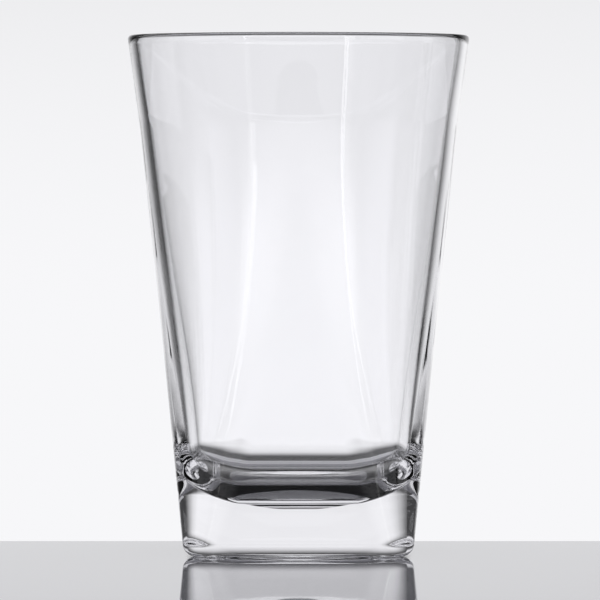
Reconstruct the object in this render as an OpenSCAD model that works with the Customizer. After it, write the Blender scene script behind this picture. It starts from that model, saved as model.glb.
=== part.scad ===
// Heavy-base pint tumbler, moulded in one piece of clear glass.
// A round rim runs down into four flat sides with rounded corners, and the foot is a
// thick solid square. Millimetres, +Z up, origin at the middle of the resting plane.

/* [Overall size] */
// Height from the table to the top of the rim
glass_h = 134.5; // [110:0.5:170]
// Outer diameter of the rim
rim_d = 89; // [80:0.5:107]
// Width of the foot across two opposite flat sides
foot_w = 59; // [48:0.5:64]
// How much further from the axis the rounded corners of the foot are than its flat sides
corner_reach = 9; // [5:0.5:9.5]

/* [Round band under the rim] */
// Height of the round band, from the top of the flat sides to the rim
band_h = 22.5; // [15:0.5:32]
// Slope of the round band outwards, from the vertical
band_draft = 7.5; // [4:0.1:8]

/* [Glass thickness] */
// Thickness of the wall at the rim, measured level
rim_wall = 2.3; // [1.8:0.1:3.2]
// Thickness of a flat side at the cavity floor, measured level
side_wall = 4.2; // [3:0.1:6]
// Thickness of a corner at the cavity floor, measured level
corner_wall = 3; // [2.5:0.1:7]
// Solid glass under the lowest point of the cavity
floor_h = 12.5; // [8:0.5:20]

/* [Roundings] */
// Radius between the cavity wall and the cavity floor
cavity_r = 15; // [8:0.5:18]
// Rise of the dished cavity floor from its middle to the start of that radius
dish_rise = 1.5; // [0.5:0.1:3]
// Radius of the outside edge at the foot
heel_r = 2.5; // [1.5:0.1:4]
// Width of the flat ring that the glass stands on, where it is narrowest
ring_w = 5.5; // [3:0.5:10]
// Depth of the shallow hollow inside that ring
punt_depth = 0.8; // [0.4:0.1:1.5]

/* [Hidden] */
$fn = 180;
GLASS = [0.86, 0.9, 0.91, 0.55];
SIDES = 4;
// Steps in the polyline of a quarter round
ARC_STEPS = 10;
// Steps in the polyline of a corner, from the foot to the round band
CORNER_STEPS = 10;
// Steps in the polyline of the dished floor
DISH_STEPS = 8;
// Tilted flats that stand for the heel radius along each side
HEEL_CUTS = 4;
// Size of the blocks that cut the flats, larger than the whole glass
BLOCK = 3 * (glass_h + rim_d);
// Length by which a cutting shape runs past the face that it opens
OVER = 1;

rim_r = rim_d / 2;
bead_r = rim_wall / 2;
shoulder_z = glass_h - band_h;
shoulder_r = rim_r - band_h * tan(band_draft);
side_slope = (shoulder_r - foot_w / 2) / shoulder_z;

// Outside: distance of a flat side, and of a corner, from the axis at a height.
// The corner stands proud of the side by less and less, and is gone at the round band.
function side_at(z) = foot_w / 2 + side_slope * z;
function corner_at(z) = side_at(z) + corner_reach * pow(1 - z / shoulder_z, 2);

// Inside: the wall thins evenly from the cavity floor to the rim
function thickness(at_floor, z) = rim_wall + (at_floor - rim_wall) * (glass_h - z) / (glass_h - floor_h);
function side_in_at(z) = side_at(z) - thickness(side_wall, z);
function corner_in_at(z) = max(side_in_at(z), corner_at(z) - thickness(corner_wall, z));
side_in_slope = (side_in_at(shoulder_z) - side_in_at(floor_h)) / (shoulder_z - floor_h);

// The cavity radius rolls from the corner onto the rim of the dish
fillet_top_z = floor_h + dish_rise + cavity_r;
dish_r = corner_in_at(fillet_top_z) - cavity_r;

// Points of an arc about c, with radius r, from angle a0 to angle a1
function arc(c, r, a0, a1) = [
    for (i = [0:ARC_STEPS])
        let (a = a0 + (a1 - a0) * i / ARC_STEPS)
        [c.x + r * cos(a), c.y + r * sin(a)]
];

// Heights above z0 at which a corner's polyline bends, the last one at the round band
function corner_heights(z0) = [for (i = [1:CORNER_STEPS]) z0 + (shoulder_z - z0) * i / CORNER_STEPS];

// Half section of the outside, from the axis along the foot and up to the bead
module outside_profile() {
    polygon(concat(
        [[0, 0]],
        arc([corner_at(heel_r) - heel_r, heel_r], heel_r, -90, 0),
        [for (z = corner_heights(heel_r)) [corner_at(z), z]],
        arc([rim_r - bead_r, glass_h - bead_r], bead_r, 0, 90),
        [[0, glass_h]]
    ));
}

// Half section of the cavity, from the middle of its dished floor to above the rim
module cavity_profile() {
    polygon(concat(
        [for (i = [0:DISH_STEPS - 1]) let (f = i / DISH_STEPS) [dish_r * f, floor_h + dish_rise * f * f]],
        arc([dish_r, fillet_top_z], cavity_r, -90, 0),
        [for (z = corner_heights(fillet_top_z)) [corner_in_at(z), z]],
        arc([rim_r - bead_r, glass_h - bead_r], bead_r, 180, 90),
        [[rim_r - bead_r, glass_h + OVER], [0, glass_h + OVER]]
    ));
}

// Everything outside four flats that pass through distance r at height z, lean outwards
// by lean degrees, and reach up past that height by up
module beyond_flats(r, z, lean, up) {
    for (i = [0:SIDES - 1])
        rotate([0, 0, i * 360 / SIDES])
            translate([r, 0, z])
                rotate([0, lean, 0])
                    translate([0, -BLOCK / 2, -BLOCK])
                        cube([BLOCK, BLOCK, BLOCK + up]);
}

// The round blank with its four flat sides and the heel round the foot
module outside() {
    heel_c = [side_at(heel_r) - heel_r, heel_r];
    difference() {
        rotate_extrude() outside_profile();
        beyond_flats(shoulder_r, shoulder_z, atan(side_slope), 0);
        for (i = [1:HEEL_CUTS]) {
            a = 90 * i / (HEEL_CUTS + 1);
            beyond_flats(heel_c.x + heel_r * cos(a), heel_c.y - heel_r * sin(a), a, BLOCK);
        }
    }
}

// The drinking space, square with rounded corners at the bottom and round at the rim
module cavity() {
    difference() {
        rotate_extrude() cavity_profile();
        beyond_flats(side_in_at(shoulder_z), shoulder_z, atan(side_in_slope), 0);
    }
}

// Shallow round hollow under the foot, so that the glass stands on a ring
module punt() {
    punt_r = foot_w / 2 - heel_r - ring_w;
    dome_r = (punt_r * punt_r + punt_depth * punt_depth) / (2 * punt_depth);
    translate([0, 0, punt_depth - dome_r])
        sphere(r = dome_r);
}

module pint_glass() {
    color(GLASS)
        difference() {
            outside();
            cavity();
            punt();
        }
}

pint_glass();
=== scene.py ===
# %% [markdown]
# # A heavy-base pint glass
# One gob of clear glass, pressed in a mould and fire-polished, so the object is one piece.
# The glass is drawn as a few hundred level sections, and a Geometry Nodes tree turns each
# section into a square with rounded corners. Then come the glass itself, the table and the
# light, because clear glass shows only what stands around it.

# %% Open the fixed frame
import math

import bmesh
import bpy
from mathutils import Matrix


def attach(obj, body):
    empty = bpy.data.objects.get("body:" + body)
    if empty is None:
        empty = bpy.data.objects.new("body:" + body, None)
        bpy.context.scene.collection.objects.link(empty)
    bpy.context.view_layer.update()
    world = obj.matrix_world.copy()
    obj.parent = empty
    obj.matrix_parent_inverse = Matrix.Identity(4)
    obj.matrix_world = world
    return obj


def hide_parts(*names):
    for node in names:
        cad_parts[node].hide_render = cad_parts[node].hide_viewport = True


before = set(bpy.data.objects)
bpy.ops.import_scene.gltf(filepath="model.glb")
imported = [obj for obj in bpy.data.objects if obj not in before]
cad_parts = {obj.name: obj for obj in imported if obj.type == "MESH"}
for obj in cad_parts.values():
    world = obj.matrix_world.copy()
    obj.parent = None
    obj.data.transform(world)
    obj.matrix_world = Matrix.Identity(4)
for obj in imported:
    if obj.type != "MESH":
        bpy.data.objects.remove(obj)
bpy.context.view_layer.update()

# %% Helpers for nodes and colours
MM = 0.001


def add_node(tree, kind, label="", settings=None, values=(), **links):
    """Adds one node. The values fill its sockets in order, and the links fill sockets by name.
    Each of them is a plain value, a socket, or a node whose first output is meant."""
    node = tree.nodes.new(kind)
    node.label = label
    for name, value in (settings or {}).items():
        setattr(node, name, value)
    by_name = [(node.inputs[name.replace("_", " ")], value) for name, value in links.items()]
    for socket, value in list(zip(node.inputs, values)) + by_name:
        if isinstance(value, bpy.types.Node):
            value = value.outputs[0]
        if isinstance(value, bpy.types.NodeSocket):
            tree.links.new(value, socket)
        else:
            socket.default_value = value
    return node


def linear(colour_hex, alpha=1.0):
    """An sRGB hex colour as the linear colour that the shaders work in."""
    parts = [int(colour_hex[i:i + 2], 16) / 255 for i in (1, 3, 5)]
    return [c / 12.92 if c <= 0.04045 else ((c + 0.055) / 1.055) ** 2.4 for c in parts] + [alpha]


print("middle grey #808080 is", round(linear("#808080")[0], 3), "in linear light")

# %% [markdown]
# ## The half section
# On the real glass one plunger and one mould set the shape: a flat side leans out evenly from
# the foot to a shoulder, and a plain round band leans out a little more up to the rim.
# It could be a lathe curve, but the sections aren't round. So the half section is taken
# through the middle of a flat side, and every point on it also says where the centre of the
# corner's rounding lies. Far from the axis gives a square section, on the axis a round one.

# %% Sizes of the glass, in millimetres
HEIGHT = 134.5
# A hair less than half of the 89 mm rim, so that the mesh stays inside the fixed box
RIM_R = 44.47
FOOT_HALF = 29.5
BAND_H = 22.5
BAND_DRAFT = math.radians(7.5)
RIM_WALL = 2.3
SIDE_WALL = 4.2
FLOOR_H = 12.5
DISH_RISE = 1.5
CAVITY_R = 15.0
HEEL_R = 3.5
RING_W = 5.5
PUNT_DEPTH = 0.8

SHOULDER_Z = HEIGHT - BAND_H
SHOULDER_HALF = RIM_R - BAND_H * math.tan(BAND_DRAFT)
# The round bead of the rim is as thick as the wall there
BEAD_R = RIM_WALL / 2
BEAD_Z = HEIGHT - BEAD_R
print("shoulder at", SHOULDER_Z, "mm, half width there", round(SHOULDER_HALF, 2), "mm")

# %% How the width, the wall and the corners change with height
# Distance of a corner's centre from both middle planes, at the foot: outside and in the cavity
CORNER_CENTRE = 22.0
CAVITY_CENTRE = 28.0


def outer_half(z):
    """Distance of the outside from the axis, at the middle of a flat side."""
    if z < SHOULDER_Z:
        return FOOT_HALF + (SHOULDER_HALF - FOOT_HALF) * z / SHOULDER_Z
    return SHOULDER_HALF + (RIM_R - SHOULDER_HALF) * (z - SHOULDER_Z) / (BEAD_Z - SHOULDER_Z)


def wall(z):
    """Thickness of the wall, which thins evenly from the cavity floor to the rim."""
    return RIM_WALL + (SIDE_WALL - RIM_WALL) * (HEIGHT - z) / (HEIGHT - FLOOR_H)


def squareness(z):
    """1 at the foot and 0 from the shoulder up, falling fast at first."""
    return max(0.0, 1 - z / SHOULDER_Z) ** 2


print("wall at half height:", round(wall(HEIGHT / 2), 2), "mm")

# %% Sections from the middle of the underside out to the rim
# Height between two sections on the plain walls
ROW_STEP = 1.5
PUNT_STEPS, RING_STEPS, HEEL_STEPS, BEAD_STEPS = 12, 4, 9, 10
# The outside waves less than the inside, so that the outline stays straight
OUTSIDE_WAVES = 0.4
# The waves start above the heel and reach their share after this height
WAVES_GROW = 10.0


def steps(start, end, count):
    """Evenly spaced values from start to end, without start."""
    return [start + (end - start) * i / count for i in range(1, count + 1)]


# Each section is (height, half width, corner centre, share of the waves)
sections = []
punt_r = FOOT_HALF - HEEL_R - RING_W
for rho in [0.0] + steps(0, punt_r, PUNT_STEPS):
    sections.append((PUNT_DEPTH * (1 - (rho / punt_r) ** 2) ** 2, rho, 0.0, 0.0))
heel_half = outer_half(HEEL_R) - HEEL_R
for f in steps(0, 1, RING_STEPS):
    sections.append((0.0, punt_r + (heel_half - punt_r) * f, CORNER_CENTRE * f, 0.0))
for angle in steps(-90, 0, HEEL_STEPS):
    turn = math.radians(angle)
    z = HEEL_R + HEEL_R * math.sin(turn)
    sections.append((z, heel_half + HEEL_R * math.cos(turn), CORNER_CENTRE * squareness(z), 0.0))
for z in steps(HEEL_R, BEAD_Z, round((BEAD_Z - HEEL_R) / ROW_STEP)):
    waves_here = min(1.0, (z - HEEL_R) / WAVES_GROW) * OUTSIDE_WAVES
    sections.append((z, outer_half(z), CORNER_CENTRE * squareness(z), waves_here))
for angle in steps(0, 180, BEAD_STEPS):
    turn = math.radians(angle)
    half = RIM_R - BEAD_R + BEAD_R * math.cos(turn)
    sections.append((BEAD_Z + BEAD_R * math.sin(turn), half, 0.0, OUTSIDE_WAVES))
outside_count = len(sections)
print(outside_count, "sections outside")

# %% Sections from the rim down the cavity to the middle of its floor
FILLET_STEPS, FLOOR_STEPS = 14, 12
# The cavity's corners keep at least this radius, in mm
LEAST_CORNER_R = 0.5

fillet_top = FLOOR_H + DISH_RISE + CAVITY_R
for z in steps(BEAD_Z, fillet_top, round((BEAD_Z - fillet_top) / ROW_STEP)):
    sections.append((z, outer_half(z) - wall(z), CAVITY_CENTRE * squareness(z), 1.0))
fillet_half = outer_half(fillet_top) - wall(fillet_top)
fillet_centre = CAVITY_CENTRE * squareness(fillet_top)
for angle in steps(0, 90, FILLET_STEPS):
    turn = math.radians(angle)
    half = fillet_half - CAVITY_R * (1 - math.cos(turn))
    z = fillet_top - CAVITY_R * math.sin(turn)
    sections.append((z, half, min(fillet_centre, half - LEAST_CORNER_R), 1.0))
dish_half = fillet_half - CAVITY_R
dish_centre = min(fillet_centre, dish_half - LEAST_CORNER_R)
for f in steps(1, 0, FLOOR_STEPS):
    sections.append((FLOOR_H + DISH_RISE * f * f, dish_half * f, dish_centre * f, 1.0))
print(len(sections) - outside_count, "sections inside")

# %% The half section as a chain of points with its two attributes
profile_mesh = bpy.data.meshes.new("half_section")
profile_mesh.from_pydata(
    [(half * MM, 0, z * MM) for z, half, centre, wave in sections],
    [(i, i + 1) for i in range(len(sections) - 1)],
    [],
)
centre_attribute = profile_mesh.attributes.new("corner_centre", "FLOAT", "POINT")
wave_attribute = profile_mesh.attributes.new("wave_share", "FLOAT", "POINT")
for i, (z, half, centre, wave) in enumerate(sections):
    centre_attribute.data[i].value = centre * MM
    wave_attribute.data[i].value = wave
profile = bpy.data.objects.new("pint_glass_profile", profile_mesh)
bpy.context.scene.collection.objects.link(profile)
print("half section:", len(profile_mesh.vertices), "points")

# %% [markdown]
# ## Soda-lime glass, pressed and fire-polished
# Fire-polishing melts the skin, so the surface is mirror smooth and only very slightly wavy.
# The eye reads the glass by refraction, dark edges and sharp highlights, and by a faint cool
# cast where it is thick. Only the ring it stands on is scuffed. A mix of a glossy and a
# refracting shader could be built by hand, but a Principled shader with full transmission
# already balances the two, and a constant absorption inside gives the cast.

# %% Where the skin of the glass is rough
SCUFF_SPACING = 0.8 * MM
SCUFF_HEIGHT = 0.25 * MM
SCUFF_ROUGHNESS = 0.3
HAZE_PATCH = 30 * MM
HAZE_ROUGHNESS = 0.012

glass = bpy.data.materials.new("soda_lime_glass_fire_polished")
glass.use_nodes = True
tree = glass.node_tree
tree.nodes.clear()
place = add_node(tree, "ShaderNodeTexCoord", "place on the glass").outputs["Object"]
height = add_node(tree, "ShaderNodeSeparateXYZ", "height", Vector=place).outputs["Z"]
scuffs = add_node(tree, "ShaderNodeTexNoise", "scuffs", Vector=place, Scale=1 / SCUFF_SPACING, Detail=4.0)
standing = add_node(tree, "ShaderNodeMapRange", "standing ring", Value=height,
                    From_Min=0.0, From_Max=SCUFF_HEIGHT, To_Min=SCUFF_ROUGHNESS, To_Max=0.0)
worn = add_node(tree, "ShaderNodeMath", "worn ring", {"operation": "MULTIPLY"}, (standing, scuffs))
# Washing leaves a haze in wide patches, too faint to see by itself
haze = add_node(tree, "ShaderNodeTexNoise", "washing haze", Vector=place, Scale=1 / HAZE_PATCH, Detail=3.0)
faint = add_node(tree, "ShaderNodeMath", "faint haze", {"operation": "MULTIPLY"}, (haze, HAZE_ROUGHNESS))
rough = add_node(tree, "ShaderNodeMath", "roughness", {"operation": "ADD"}, (worn, faint))
print("scuffs up to", round(SCUFF_HEIGHT / MM, 2), "mm above the table")

# %% The glass material
GLASS_IOR = 1.52
# The skin keeps a ripple from the mould, this far from crest to crest
RIPPLE_SPACING = 5 * MM
RIPPLE_HEIGHT = 0.2 * MM

ripple = add_node(tree, "ShaderNodeTexNoise", "skin ripple",
                  Vector=place, Scale=1 / RIPPLE_SPACING, Detail=1.0)
skin = add_node(tree, "ShaderNodeBump", "skin", Height=ripple, Strength=0.02, Distance=RIPPLE_HEIGHT)
shader = add_node(
    tree, "ShaderNodeBsdfPrincipled", "glass",
    Base_Color=linear("#FEFEFF"), Roughness=rough, IOR=GLASS_IOR, Transmission_Weight=1.0, Normal=skin,
)
cast = add_node(tree, "ShaderNodeVolumeAbsorption", "cool cast", Color=linear("#E6E3EE"), Density=2.0)
add_node(tree, "ShaderNodeOutputMaterial", "out", Surface=shader, Volume=cast)
print("glass: refractive index", GLASS_IOR)

# %% [markdown]
# ## The rule of the sections, as a Geometry Nodes tree
# A grid gets one column for each step round the glass and one row for each section. The tree
# moves each grid point: a quarter of the columns runs round one corner and along one flat
# side, and the other quarters are the same, turned. Where the corner's centre is on the
# axis, the section is a circle, so one rule gives the foot, the sides and the rim.
# The same could be lofted in mesh code, but in a tree the rule can be changed while it shows.

# %% Start the tree with its named inputs
loft = bpy.data.node_groups.new("rounded_square_loft", "GeometryNodeTree")
for name, kind in (
    ("Half Section", "NodeSocketGeometry"),
    ("Corner Steps", "NodeSocketInt"),
    ("Side Steps", "NodeSocketInt"),
    ("Wave Length", "NodeSocketFloat"),
    ("Wave Depth", "NodeSocketFloat"),
    ("Wave Seed", "NodeSocketFloat"),
    ("Weld", "NodeSocketFloat"),
    ("Glass", "NodeSocketMaterial"),
):
    loft.interface.new_socket(name, in_out="INPUT", socket_type=kind)
loft.interface.new_socket("Glass Body", in_out="OUTPUT", socket_type="NodeSocketGeometry")
given = add_node(loft, "NodeGroupInput", "sizes").outputs
print("tree inputs:", [socket.name for socket in given if socket.name])

# %% The grid: columns round the glass, rows from the punt over the rim to the cavity floor
rows = add_node(loft, "GeometryNodeAttributeDomainSize", "rows", Geometry=given["Half Section"])
per_quarter = add_node(loft, "ShaderNodeMath", "columns in a quarter", {"operation": "ADD"},
                       (given["Corner Steps"], given["Side Steps"]))
# One more column than the four quarters need, welded to the first one later
columns = add_node(loft, "ShaderNodeMath", "columns", {"operation": "MULTIPLY_ADD"}, (per_quarter, 4.0, 1.0))
grid = add_node(loft, "GeometryNodeMeshGrid", "grid", Vertices_X=columns, Vertices_Y=rows)
# The grid counts its points up each column in turn, and half a point guards the division
index = add_node(loft, "GeometryNodeInputIndex", "index")
half_on = add_node(loft, "ShaderNodeMath", "half a point on", {"operation": "ADD"}, (index, 0.5))
so_far = add_node(loft, "ShaderNodeMath", "columns so far", {"operation": "DIVIDE"}, (half_on, rows))
column = add_node(loft, "ShaderNodeMath", "column", {"operation": "FLOOR"}, (so_far,))
before = add_node(loft, "ShaderNodeMath", "points before", {"operation": "MULTIPLY"}, (column, rows))
row = add_node(loft, "ShaderNodeMath", "row", {"operation": "SUBTRACT"}, (index, before))
print(len(loft.nodes), "nodes up to the grid")

# %% Read the half section at this row
position = add_node(loft, "GeometryNodeInputPosition", "place")
centre_there = add_node(loft, "GeometryNodeInputNamedAttribute", "corner centre", Name="corner_centre")
share_there = add_node(loft, "GeometryNodeInputNamedAttribute", "wave share", Name="wave_share")
at_row = {}
for name, kind, value in (
    ("point", "FLOAT_VECTOR", position),
    ("centre", "FLOAT", centre_there),
    ("wave share", "FLOAT", share_there),
):
    at_row[name] = add_node(loft, "GeometryNodeSampleIndex", name, {"data_type": kind, "domain": "POINT"},
                            Geometry=given["Half Section"], Value=value, Index=row)
section_point = add_node(loft, "ShaderNodeSeparateXYZ", "section point", Vector=at_row["point"]).outputs
corner_r = add_node(loft, "ShaderNodeMath", "corner radius", {"operation": "SUBTRACT"},
                    (section_point["X"], at_row["centre"]))
print("read at each row:", list(at_row))

# %% Which quarter the column is in, and how far round the corner or along the side
quarters = add_node(loft, "ShaderNodeMath", "quarters so far", {"operation": "DIVIDE"}, (column, per_quarter))
quarter = add_node(loft, "ShaderNodeMath", "quarter", {"operation": "FLOOR"}, (quarters,))
passed = add_node(loft, "ShaderNodeMath", "columns passed", {"operation": "MULTIPLY"}, (quarter, per_quarter))
step = add_node(loft, "ShaderNodeMath", "step", {"operation": "SUBTRACT"}, (column, passed))
turned_part = add_node(loft, "ShaderNodeMath", "part", {"operation": "DIVIDE"}, (step, given["Corner Steps"]))
corner_part = add_node(loft, "ShaderNodeMath", "part of the corner", {"operation": "MINIMUM"},
                       (turned_part, 1.0))
angle = add_node(loft, "ShaderNodeMath", "angle", {"operation": "MULTIPLY"}, (corner_part, math.pi / 2))
beyond = add_node(loft, "ShaderNodeMath", "beyond", {"operation": "SUBTRACT"}, (step, given["Corner Steps"]))
side_step = add_node(loft, "ShaderNodeMath", "side step", {"operation": "MAXIMUM"}, (beyond, 0.0))
side_part = add_node(loft, "ShaderNodeMath", "part of the side", {"operation": "DIVIDE"},
                     (side_step, given["Side Steps"]))
# The cosine crowds the columns at both ends of a flat side, where the surface starts to turn
side_turn = add_node(loft, "ShaderNodeMath", "half turn", {"operation": "MULTIPLY"}, (side_part, math.pi))
along_side = add_node(loft, "ShaderNodeMath", "along the side", {"operation": "COSINE"}, (side_turn,))
print(len(loft.nodes), "nodes up to the columns")

# %% Place the point in the first quarter, then turn it to its own quarter
cosine = add_node(loft, "ShaderNodeMath", "cosine", {"operation": "COSINE"}, (angle,))
sine = add_node(loft, "ShaderNodeMath", "sine", {"operation": "SINE"}, (angle,))
side_x = add_node(loft, "ShaderNodeMath", "side's x", {"operation": "MULTIPLY"},
                  (at_row["centre"], along_side))
x = add_node(loft, "ShaderNodeMath", "x", {"operation": "MULTIPLY_ADD"}, (corner_r, cosine, side_x))
y = add_node(loft, "ShaderNodeMath", "y", {"operation": "MULTIPLY_ADD"}, (corner_r, sine, at_row["centre"]))
flat_point = add_node(loft, "ShaderNodeCombineXYZ", "point", X=x, Y=y, Z=section_point["Z"])
quarter_turn = add_node(loft, "ShaderNodeMath", "turn", {"operation": "MULTIPLY"}, (quarter, math.pi / 2))
turned = add_node(loft, "ShaderNodeVectorRotate", "own quarter", {"rotation_type": "Z_AXIS"},
                  Vector=flat_point, Angle=quarter_turn)
shaped = add_node(loft, "GeometryNodeSetPosition", "shape", Geometry=grid, Position=turned)
# The weld changes the numbering, so each point first keeps its own share of the waves
kept_share = add_node(loft, "GeometryNodeStoreNamedAttribute", "keep share",
                      {"data_type": "FLOAT", "domain": "POINT"},
                      Geometry=shaped, Name="wave_share", Value=at_row["wave share"])
welded = add_node(loft, "GeometryNodeMergeByDistance", "weld seam and poles",
                  Geometry=kept_share, Distance=given["Weld"])
print(len(loft.nodes), "nodes up to the weld")

# %% Waves of the mould, always into the glass so that it never grows
closeness = add_node(loft, "ShaderNodeMath", "waves in a metre", {"operation": "DIVIDE"},
                     (1.0, given["Wave Length"]))
wave_place = add_node(loft, "ShaderNodeVectorMath", "waves apart", {"operation": "SCALE"},
                      Vector=position, Scale=closeness)
waves = add_node(loft, "ShaderNodeTexNoise", "waves", {"noise_dimensions": "4D"},
                 Vector=wave_place, W=given["Wave Seed"], Scale=1.0, Detail=1.0)
depth = add_node(loft, "ShaderNodeMath", "depth", {"operation": "MULTIPLY"}, (waves, given["Wave Depth"]))
shared = add_node(loft, "ShaderNodeMath", "depth here", {"operation": "MULTIPLY"}, (depth, share_there))
inward = add_node(loft, "ShaderNodeMath", "inward", {"operation": "MULTIPLY"}, (shared, -1.0))
normal = add_node(loft, "GeometryNodeInputNormal", "normal")
push = add_node(loft, "ShaderNodeVectorMath", "push", {"operation": "SCALE"}, Vector=normal, Scale=inward)
waved = add_node(loft, "GeometryNodeSetPosition", "waves", Geometry=welded, Offset=push)
print(len(loft.nodes), "nodes up to the waves")

# %% Finish the tree, set its inputs and run it
smooth = add_node(loft, "GeometryNodeSetShadeSmooth", "smooth", Geometry=waved)
real = add_node(loft, "GeometryNodeRealizeInstances", "real mesh", Geometry=smooth)
coated = add_node(loft, "GeometryNodeSetMaterial", "glass", Geometry=real, Material=given["Glass"])
add_node(loft, "NodeGroupOutput", "out", values=(coated,))

LOFT_VALUES = {
    "Corner Steps": 32, "Side Steps": 12, "Wave Length": 22 * MM, "Wave Depth": 0.06 * MM,
    "Wave Seed": 3.0, "Weld": 0.004 * MM, "Glass": glass,
}
modifier = profile.modifiers.new("rounded_square_loft", "NODES")
modifier.node_group = loft
for item in loft.interface.items_tree:
    if item.in_out == "INPUT" and item.name in LOFT_VALUES:
        modifier[item.identifier] = LOFT_VALUES[item.name]
evaluated = profile.evaluated_get(bpy.context.evaluated_depsgraph_get())
body_mesh = bpy.data.meshes.new_from_object(evaluated)
body_mesh.name = "pint_glass_body"
pint_glass = bpy.data.objects.new("pint_glass_body", body_mesh)
bpy.context.scene.collection.objects.link(pint_glass)
# The half section goes, and its modifier with it
bpy.data.objects.remove(profile)
print("glass:", len(body_mesh.vertices), "points,", len(body_mesh.polygons), "faces")

# %% Check that the mesh is closed and faces outwards
check = bmesh.new()
check.from_mesh(body_mesh)
open_edges = sum(1 for edge in check.edges if len(edge.link_faces) != 2)
volume = check.calc_volume(signed=True)
# A negative volume means that the faces look inwards
if volume < 0:
    bmesh.ops.reverse_faces(check, faces=check.faces)
    check.to_mesh(body_mesh)
check.free()
print("open edges:", open_edges, "volume, ml:", round(volume * 1e6, 2))

# %% Tell the frame what the mesh stands for
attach(pint_glass, "root")
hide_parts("pint_glass")
print(pint_glass.name, "rides on root")

# %% [markdown]
# ## Table, backdrop and lights
# Clear glass is lit from behind: a bright backdrop shines through it, and what lies beside
# and below the backdrop is dim, so every steep edge of the glass draws a dark line. The
# table is a glossy grey board that ends a little behind the glass, with a pale floor far
# below it. Walls and windows fill the sides of the glass, a soft panel in front lifts its
# inside, and two tall narrow lamps draw the upright streaks. A room light from all round
# would be simpler, but it would wash out the dark lines. Everything upright stands further
# off than the camera, so that it hides the glass from no side.

# %% A flat rectangle for the stage
def sheet(name, width, depth, middle, material, tilt=0.0, turn=0.0):
    """A flat rectangle, first tilted about X and then turned about Z."""
    mesh = bpy.data.meshes.new(name)
    w, d = width / 2, depth / 2
    mesh.from_pydata([(-w, -d, 0), (w, -d, 0), (w, d, 0), (-w, d, 0)], [], [(0, 1, 2, 3)])
    mesh.materials.append(material)
    stage_sheet = bpy.data.objects.new(name, mesh)
    bpy.context.scene.collection.objects.link(stage_sheet)
    stage_sheet.location = middle
    stage_sheet.rotation_euler = (math.radians(tilt), 0, math.radians(turn))
    print(name, width, "by", depth, "m at", [round(part, 2) for part in middle])


# %% Cast acrylic, glossy for the board and matt for the floor
# The skin of the sheet ripples by this little, over this distance
PEEL_SPACING = 25 * MM
PEEL_HEIGHT = 0.2 * MM


def acrylic(name, colour, roughness):
    """Cast acrylic sheet, an even colour under a smooth skin. Polished, it mirrors the foot of
    the glass and grows brighter towards the far edge, and matt it only spreads the light."""
    material = bpy.data.materials.new(name)
    material.use_nodes = True
    nodes = material.node_tree
    nodes.nodes.clear()
    spot = add_node(nodes, "ShaderNodeTexCoord", "place").outputs["Object"]
    peel = add_node(nodes, "ShaderNodeTexNoise", "ripple", Vector=spot, Scale=1 / PEEL_SPACING, Detail=1.0)
    skin = add_node(nodes, "ShaderNodeBump", "skin", Height=peel, Strength=0.01, Distance=PEEL_HEIGHT)
    surface = add_node(nodes, "ShaderNodeBsdfPrincipled", "acrylic",
                       Base_Color=linear(colour), Roughness=roughness, Normal=skin)
    add_node(nodes, "ShaderNodeOutputMaterial", "out", Surface=surface)
    return material


BOARD_SIZE = 3.0
# The board ends this far behind the axis of the glass
BOARD_REACH = 0.0415
FLOOR_SIZE = 20
FLOOR_DROP = 1.25
board_acrylic = acrylic("polished_grey_acrylic", "#84848A", 0.02)
sheet("board", BOARD_SIZE, BOARD_SIZE, (0, BOARD_REACH - BOARD_SIZE / 2, 0), board_acrylic)
floor_acrylic = acrylic("matt_pale_grey_acrylic", "#D9D9DC", 0.5)
sheet("floor", FLOOR_SIZE, FLOOR_SIZE, (0, 0, -FLOOR_DROP), floor_acrylic)

# %% Light that fades out towards the edges of its sheet
# How bright the room is below its ceiling, where no lamp or sheet shines
ROOM_LEVEL = 0.06


def glowing(name, colour, strength, core=None, fade=None):
    """A material that only gives light. It is even, or it is full inside the core and down to
    the room's level at the fade: each says how far aside, down and up from the middle."""
    material = bpy.data.materials.new(name)
    material.use_nodes = True
    nodes = material.node_tree
    nodes.nodes.clear()
    glow = add_node(nodes, "ShaderNodeEmission", name, Color=linear(colour), Strength=strength)
    add_node(nodes, "ShaderNodeOutputMaterial", "out", Surface=glow)
    if core:
        spot = add_node(nodes, "ShaderNodeTexCoord", "place").outputs["Object"]
        split = add_node(nodes, "ShaderNodeSeparateXYZ", "place", Vector=spot).outputs
        aside = add_node(nodes, "ShaderNodeMath", "aside", {"operation": "ABSOLUTE"}, (split["X"],))
        down = add_node(nodes, "ShaderNodeMath", "down", {"operation": "MULTIPLY"}, (split["Y"], -1.0))
        level = strength - ROOM_LEVEL
        for along, near, far in zip((aside, down, split["Y"]), core, fade):
            ease = add_node(nodes, "ShaderNodeMapRange", "fade", {"interpolation_type": "SMOOTHSTEP"},
                            Value=along, From_Min=near, From_Max=far, To_Min=1.0, To_Max=0.0)
            level = add_node(nodes, "ShaderNodeMath", "level", {"operation": "MULTIPLY"}, (ease, level))
        total = add_node(nodes, "ShaderNodeMath", "total", {"operation": "ADD"}, (level, ROOM_LEVEL))
        nodes.links.new(total.outputs[0], glow.inputs["Strength"])
    return material


print("room level", ROOM_LEVEL)

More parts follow.
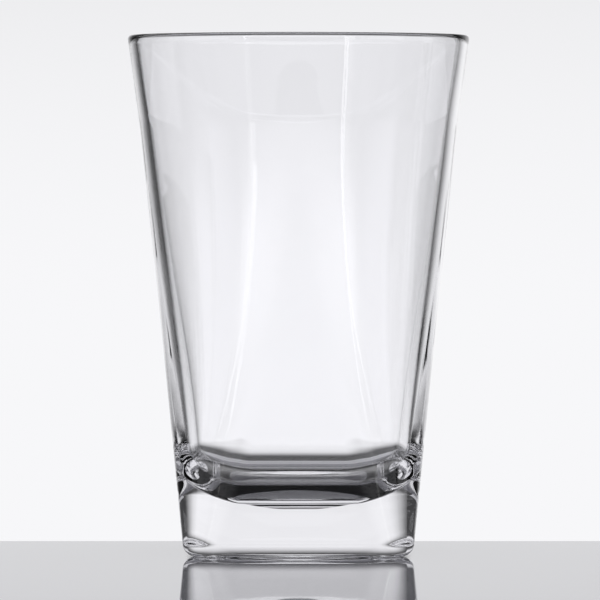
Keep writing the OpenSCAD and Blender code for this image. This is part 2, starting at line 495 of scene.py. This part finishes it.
# %% The backdrop behind and the walls beside
BACKDROP_FAR = 2.0
WALL_FAR = 2.6
backdrop_light = glowing("backdrop_light", "#F7F7F9", 1.0, core=(0.5, 0.13, 0.0), fade=(1.47, 0.67, 1.05))
sheet("backdrop", 3.0, 2.34, (0.2, BACKDROP_FAR, 0.0), backdrop_light, tilt=90)
wall_light = glowing("side_wall_light", "#F2F2F8", 1.1, core=(1.35, 0.3, 0.3), fade=(1.75, 0.8, 0.8))
for side in (-1, 1):
    sheet("side_wall", 3.5, 1.6, (side * WALL_FAR, -1.8, 0), wall_light, tilt=90, turn=side * 90)

# %% Two windows beside the glass: a dim one on the left, a large bright one on the right
WINDOW_FAR = 2.59
for name, side, width, tall, strength in (
    ("left_window", -1, 0.6, 0.5, 0.6), ("right_window", 1, 1.3, 0.9, 1.1),
):
    window_light = glowing(name + "_light", "#F4F4F8", strength, core=(width * 0.38, tall / 4, tall / 4),
                           fade=(width / 2, tall / 2, tall / 2))
    sheet(name, width, tall, (side * WINDOW_FAR, 0, 0.05), window_light, tilt=90, turn=side * 90)

# %% A soft panel behind the camera
PANEL_FAR = 2.4
panel_light = glowing("front_panel_light", "#F4F4F7", 1.8, core=(2.0, 0.06, 0.0), fade=(3.4, 0.3, 0.4))
sheet("front_panel", 5.2, 1.0, (0, -PANEL_FAR, 0.42), panel_light, tilt=-90)

# %% Two tall narrow lamps
# The back wall of the glass is a hollow mirror, so the lamp on the right draws the left streak
# Degrees round from straight ahead
LAMP_TURN = 36
LAMP_FAR = 2.2
for name, side, width, tall, strength in (
    ("left_streak_lamp", 1, 0.16, 0.53, 2.4), ("right_streak_lamp", -1, 0.06, 0.9, 3.6),
):
    aside = side * LAMP_FAR * math.sin(math.radians(LAMP_TURN))
    ahead = -LAMP_FAR * math.cos(math.radians(LAMP_TURN))
    lamp_light = glowing(name + "_light", "#FFFFFF", strength)
    sheet(name, width, tall, (aside, ahead, tall / 2), lamp_light, tilt=-90, turn=side * LAMP_TURN)

# %% The room: dim all round, with a pale ceiling
CEILING_LEVEL = 0.9
# The ceiling starts and is full where a line of sight climbs by these sines
CEILING_START, CEILING_FULL = 0.15, 0.35

world = bpy.data.worlds.new("room")
bpy.context.scene.world = world
world.use_nodes = True
room = world.node_tree
way = add_node(room, "ShaderNodeTexCoord", "way").outputs["Generated"]
climb = add_node(room, "ShaderNodeSeparateXYZ", "climb", Vector=way).outputs["Z"]
ceiling = add_node(room, "ShaderNodeMapRange", "ceiling", {"interpolation_type": "SMOOTHSTEP"}, Value=climb,
                   From_Min=CEILING_START, From_Max=CEILING_FULL, To_Min=ROOM_LEVEL, To_Max=CEILING_LEVEL)
room.links.new(ceiling.outputs[0], room.nodes["Background"].inputs["Strength"])
room.nodes["Background"].inputs["Color"].default_value = linear("#F7F7FA")
print("ceiling level", CEILING_LEVEL)

# %% [markdown]
# ## The camera
# A long lens far away keeps the sides of the glass straight. The eye is a little below the
# rim, so that the near edge of the rim hides its opening.

# %% Place the camera
EYE = (0.0004, -1.62, 0.1038)
AIM_Z = 0.0655
LENS = 373
SENSOR = 36
camera_data = bpy.data.cameras.new("camera")
camera_data.sensor_width = SENSOR
camera_data.lens = LENS
camera = bpy.data.objects.new("camera", camera_data)
bpy.context.scene.collection.objects.link(camera)
camera.location = EYE
down = math.atan2(EYE[2] - AIM_Z, -EYE[1])
camera.rotation_euler = (math.pi / 2 - down, 0, 0)
bpy.context.scene.camera = camera
bpy.context.scene.view_settings.view_transform = "Standard"
# Light crosses many skins of the glass and its mirror image in the board
bpy.context.scene.cycles.max_bounces = 24
bpy.context.scene.cycles.transmission_bounces = 24
bpy.context.scene.cycles.glossy_bounces = 12
print("camera looks down by", round(math.degrees(down), 2), "degrees")
